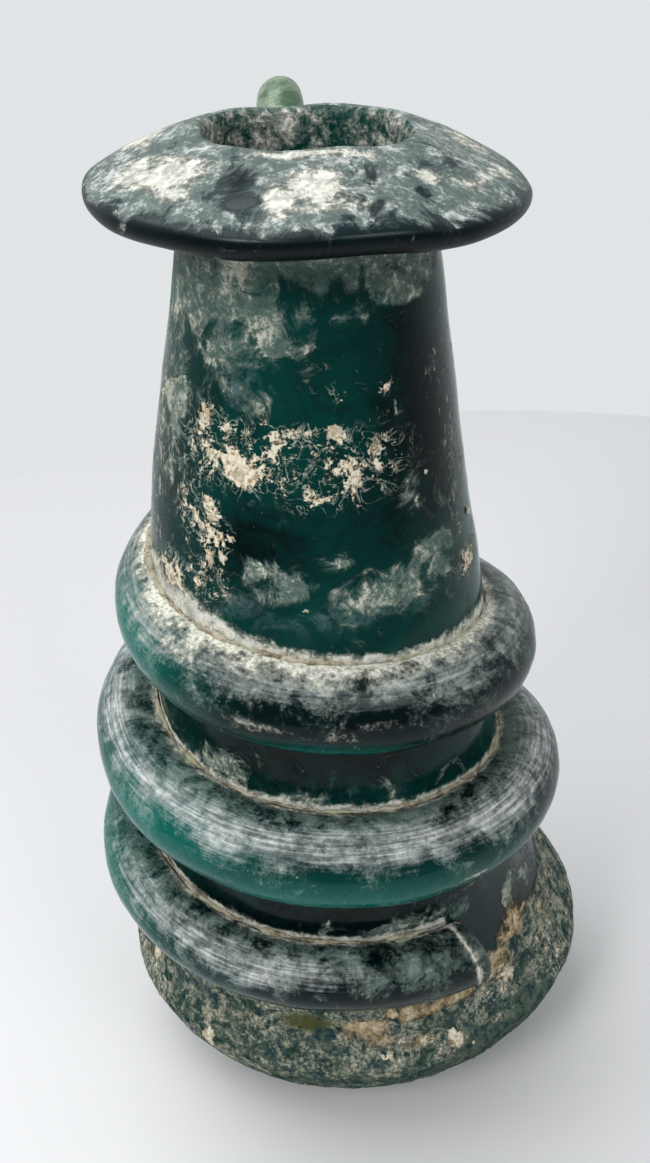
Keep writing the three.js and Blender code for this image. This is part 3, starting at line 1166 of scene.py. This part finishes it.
# Painted light: bright teal, and clearer glass, where light shows through the rod's lower and left
# flanks
painted_glow = amount_of(tree, "painted_glow")
contact = amount_of(tree, "contact")
colour = blend(tree, painted_glow, rod_dark, rod_glow_teal)
colour = blend(tree, dust, colour, dust_green)
streak_mix = weighed(tree, (lines, 0.6), (grain, 0.4))
streak_colour = two_tones(tree, streak_mix, 0.38, 0.64, streak_grey, streak_white)
colour = blend(tree, streaks, colour, streak_colour)
cream_colour = two_tones(tree, fine, 0.32, 0.62, rod_cream_grey, rod_cream_white)
colour = blend(tree, crusted, colour, cream_colour)
colour = blend(tree, contact, colour, contact_dark)
cover = most(tree, streaks, dust, crusted)
clear = math_node(tree, "SUBTRACT", 1.0, most(tree, cover, contact))
clear = times(tree, clear, blend_value(tree, painted_glow, 0.45, 0.62))
height = weighed(tree, (crusted, 0.9), (times(tree, fine, cover), 0.8), (lines, 0.12))
absorb = node(tree, "VolumeAbsorption", {"Color": teal_passing, "Density": rod_density})
surface(
    tree,
    {
        "Base Color": colour,
        "Roughness": blend_value(tree, cover, 0.10, 0.72),
        "Transmission Weight": clear,
        "IOR": glass_ior,
        "Specular IOR Level": 0.08,
        "Normal": relief(tree, height, 0.00016, 0.8),
    },
    absorb.outputs["Volume"],
)
trail.data.materials.append(trail_finish)
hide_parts("spiral_trail")
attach(trail, "root")

# Pale soil has set in the crevice between the trail's upper side and the wall, all the way
# round. It is a low crumbling bead, thicker at the front left of the first turn.
bead_radius = 0.00036
bead_start_turn = trail_start_turn + 0.16
bead_end_turn = trail_end_turn - 0.015
bead_sink = 0.0001
bead_stand_off = 0.00015
bead_points = 360
bead_sides = 8
bead_rings = (5, 60)
crumbs_along = 90.0
soil_brown = (0.14, 0.11, 0.065, 1)
soil_cream = (0.52, 0.48, 0.38, 1)
soil_olive = (0.40, 0.41, 0.28, 1)

bead_turns = np.linspace(bead_start_turn, bead_end_turn, bead_points)
bead_rise = np.sqrt(trail_radius**2 - trail_lift(bead_turns) ** 2)
bead_height = trail_height(bead_turns) + bead_rise - bead_sink
bead_reach = wall_radius(bead_height) + bead_stand_off
bead_angle = math.pi + math.tau * bead_turns
bead_line = np.column_stack(
    [bead_reach * np.cos(bead_angle), bead_reach * np.sin(bead_angle), bead_height]
)
bead_length = length_of(bead_line)
bead = rod("crevice_soil", bead_radius, bead_length, bead_sides, bead_rings)
finish_rod(bead)
straight = points_of(bead)
along = straight[:, 0] / bead_length
thick = np.array([noise.noise((a * crumbs_along, 0.3, 0.0)) for a in along])
thick = np.clip(0.7 + 1.3 * thick, 0.15, 2) + 0.6 * hump(along, 0.07, 0.06)
straight[:, 1:] *= thick[:, None]
move_points(bead, straight)
wind(bead, bead_line, "crevice_path")
move_points(bead, settle(points_of(bead)))
bead_crumbs = clouds("bead_crumbs", 0.0012, 3)
apply_modifier(bead, "DISPLACE", texture=bead_crumbs, strength=0.0007, mid_level=0.5)

soil_finish, tree, place = new_finish("pale_soil")
grain = pattern(tree, place, 700, 7, 0.75)
broad = pattern(tree, place, 160, 5, 0.6)
colour = two_tones(tree, grain, 0.36, 0.60, soil_brown, soil_cream)
colour = two_tones(tree, broad, 0.48, 0.66, colour, soil_olive)
crumbly = relief(tree, grain, 0.0004, 0.9)
surface(tree, {"Base Color": colour, "Roughness": 0.92, "Normal": crumbly})
bead.data.materials.append(soil_finish)
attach(bead, "root")

# Loose flakes of crust and small grains of soil stick to the neck and the belly. Each one is a
# flattened, uneven lump pressed against the glass.
grain_count = 44
grains_for_one_on_neck = 4
grain_sizes = (0.16, 0.42)
grain_spread = (-175, 180)
grains_on_belly = (3, 17)
grains_on_neck = (78, 98)
unevenness = 0.95
flake_brown = (0.44, 0.36, 0.24, 1)
flake_cream = (0.80, 0.76, 0.64, 1)
flake_tan = (0.56, 0.42, 0.25, 1)

# Each flake: degrees to the right of the front, height, half width and half height, the lengths
# in millimetres
flake_places = [
    (-38, 89.6, 0.8, 1.3),
    (-42, 87.6, 0.8, 1.0),
    (-35, 88.4, 0.9, 0.9),
    (-31, 84.4, 0.5, 0.6),
    (-36, 84.0, 0.6, 0.9),
    (-28, 86.6, 0.5, 0.4),
    (8, 97.8, 0.95, 0.8),
    (-41, 97.8, 0.9, 0.9),
    (-24, 93.2, 1.3, 1.0),
    (15, 92.6, 0.8, 0.9),
    (22, 17.6, 0.95, 1.5),
    (-40, 15.6, 0.8, 1.2),
    (5, 17.4, 0.8, 0.8),
    (8, 23.4, 0.6, 0.6),
    (2, 0.9, 1.4, 0.9),
    (34, 25.0, 0.9, 0.8),
    (42, 22.0, 1.0, 0.9),
    (-66, 20.0, 1.0, 1.2),
]
random.seed(7)
for count in range(grain_count):
    on_neck = count % grains_for_one_on_neck == 0
    low, high = grains_on_neck if on_neck else grains_on_belly
    size = random.uniform(*grain_sizes)
    degrees, height = random.uniform(*grain_spread), random.uniform(low, high)
    flake_places.append((degrees, height, size, size * random.uniform(0.7, 1.6)))

lumps = []
for count, (degrees, height, half_width, half_height) in enumerate(flake_places):
    bpy.ops.mesh.primitive_ico_sphere_add(subdivisions=3, radius=1)
    lump = bpy.context.object
    ball = points_of(lump)
    uneven = np.array([noise.noise((*(point * 1.9 + count * 3.1),)) for point in ball])
    uneven += 0.5 * np.array([noise.noise((*(point * 3.7 + count * 1.7),)) for point in ball])
    ball *= (1 + unevenness * uneven)[:, None]
    thickness = 0.16 + 0.10 * min(half_width, 1.2)
    up = (height + ball[:, 2] * half_height) / 1000
    out = wall_radius(up) + ball[:, 1] * thickness / 1000
    angle = math.radians(degrees) + ball[:, 0] * half_width / 1000 / out
    ball = np.column_stack([out * np.sin(angle), -out * np.cos(angle), np.maximum(up, 0.0001)])
    move_points(lump, settle(ball))
    lumps.append(lump)
bpy.ops.object.select_all(action="DESELECT")
for lump in lumps:
    lump.select_set(True)
bpy.context.view_layer.objects.active = lumps[0]
bpy.ops.object.join()
flakes = lumps[0]
flakes.name = "crust_flakes"
bpy.ops.object.shade_smooth()

flake_finish, tree, place = new_finish("cream_crust")
grain = pattern(tree, place, 900, 6, 0.75)
broad = pattern(tree, place, 130, 3, 0.5)
colour = two_tones(tree, grain, 0.38, 0.60, flake_brown, flake_cream)
colour = blend(tree, threshold(tree, broad, 0.56, 0.66, 0.6), colour, flake_tan)
crumbly = relief(tree, grain, 0.0003, 0.9)
surface(tree, {"Base Color": colour, "Roughness": 0.90, "Normal": crumbly})
flakes.data.materials.append(flake_finish)
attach(flakes, "root")

# The handle is a thin rod of pale olive glass. It is stuck to the neck above the trail, stands
# clear of the neck and is bent over onto the crown of the rim.
handle_radius = 0.0025
handle_reach = 0.0064
handle_angle = math.radians(97)
handle_foot_above_trail = 0.0075
handle_crown = 0.0008
handle_tip_inset = 0.0046
handle_gap = 0.0003
handle_sides = 16
handle_rings = (60,)
handle_points = 90
handle_green = (0.10, 0.17, 0.11, 1)
handle_pale = (0.28, 0.37, 0.25, 1)
handle_cloud = (0.34, 0.40, 0.29, 1)

handle_foot = trail_height(trail_start_turn) + handle_foot_above_trail
handle_outside = rim_radius + handle_radius + handle_gap
handle_high = lip_height + handle_crown - handle_radius
foot_wall = float(wall_radius(handle_foot))
handle_stations = [
    (foot_wall - handle_radius, handle_foot - handle_radius),
    (foot_wall + handle_radius, handle_foot),
    (handle_outside + handle_reach * 0.1, handle_foot + handle_reach),
    (handle_outside + handle_reach * 0.3, (handle_foot + neck_top_height + handle_reach) / 2),
    (handle_outside + handle_reach * 0.1, neck_top_height - handle_radius),
    (rim_radius, handle_high - handle_radius * 0.2),
    (rim_radius - handle_tip_inset * 0.4, handle_high),
    (rim_radius - handle_tip_inset, handle_high - handle_radius),
]
handle_direction = np.array([math.cos(handle_angle), math.sin(handle_angle)])
handle_places = [(*(out * handle_direction), up) for out, up in handle_stations]
handle_line = spline(handle_places, handle_points)
handle_length = length_of(handle_line)
handle = rod("handle_glass", handle_radius, handle_length, handle_sides, handle_rings)
finish_rod(handle)
mark_winding(handle, handle_radius)
wind(handle, handle_line, "handle_path")
move_points(handle, settle(lay_on_wall(points_of(handle), laid_gap)))

handle_finish, tree, place = new_finish("pale_olive_glass")
winding_place = node(tree, "Attribute", attribute_name="winding").outputs["Vector"]
thread_place = stretched(tree, winding_place, (900, 250, 1), (0, 0, 0.5))
threads = threshold(tree, pattern(tree, thread_place, 1.0, 4, 0.6), 0.42, 0.62)
cloud = pattern(tree, place, 500, 5, 0.6)
colour = blend(tree, threads, handle_green, handle_pale)
colour = two_tones(tree, cloud, 0.55, 0.7, colour, handle_cloud)
surface(
    tree,
    {
        "Base Color": colour,
        "Roughness": 0.25,
        "Transmission Weight": 0.25,
        "IOR": glass_ior,
        "Normal": relief(tree, threads, 0.0001, 0.5),
    },
)
handle.data.materials.append(handle_finish)
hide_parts("handle")
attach(handle, "root")
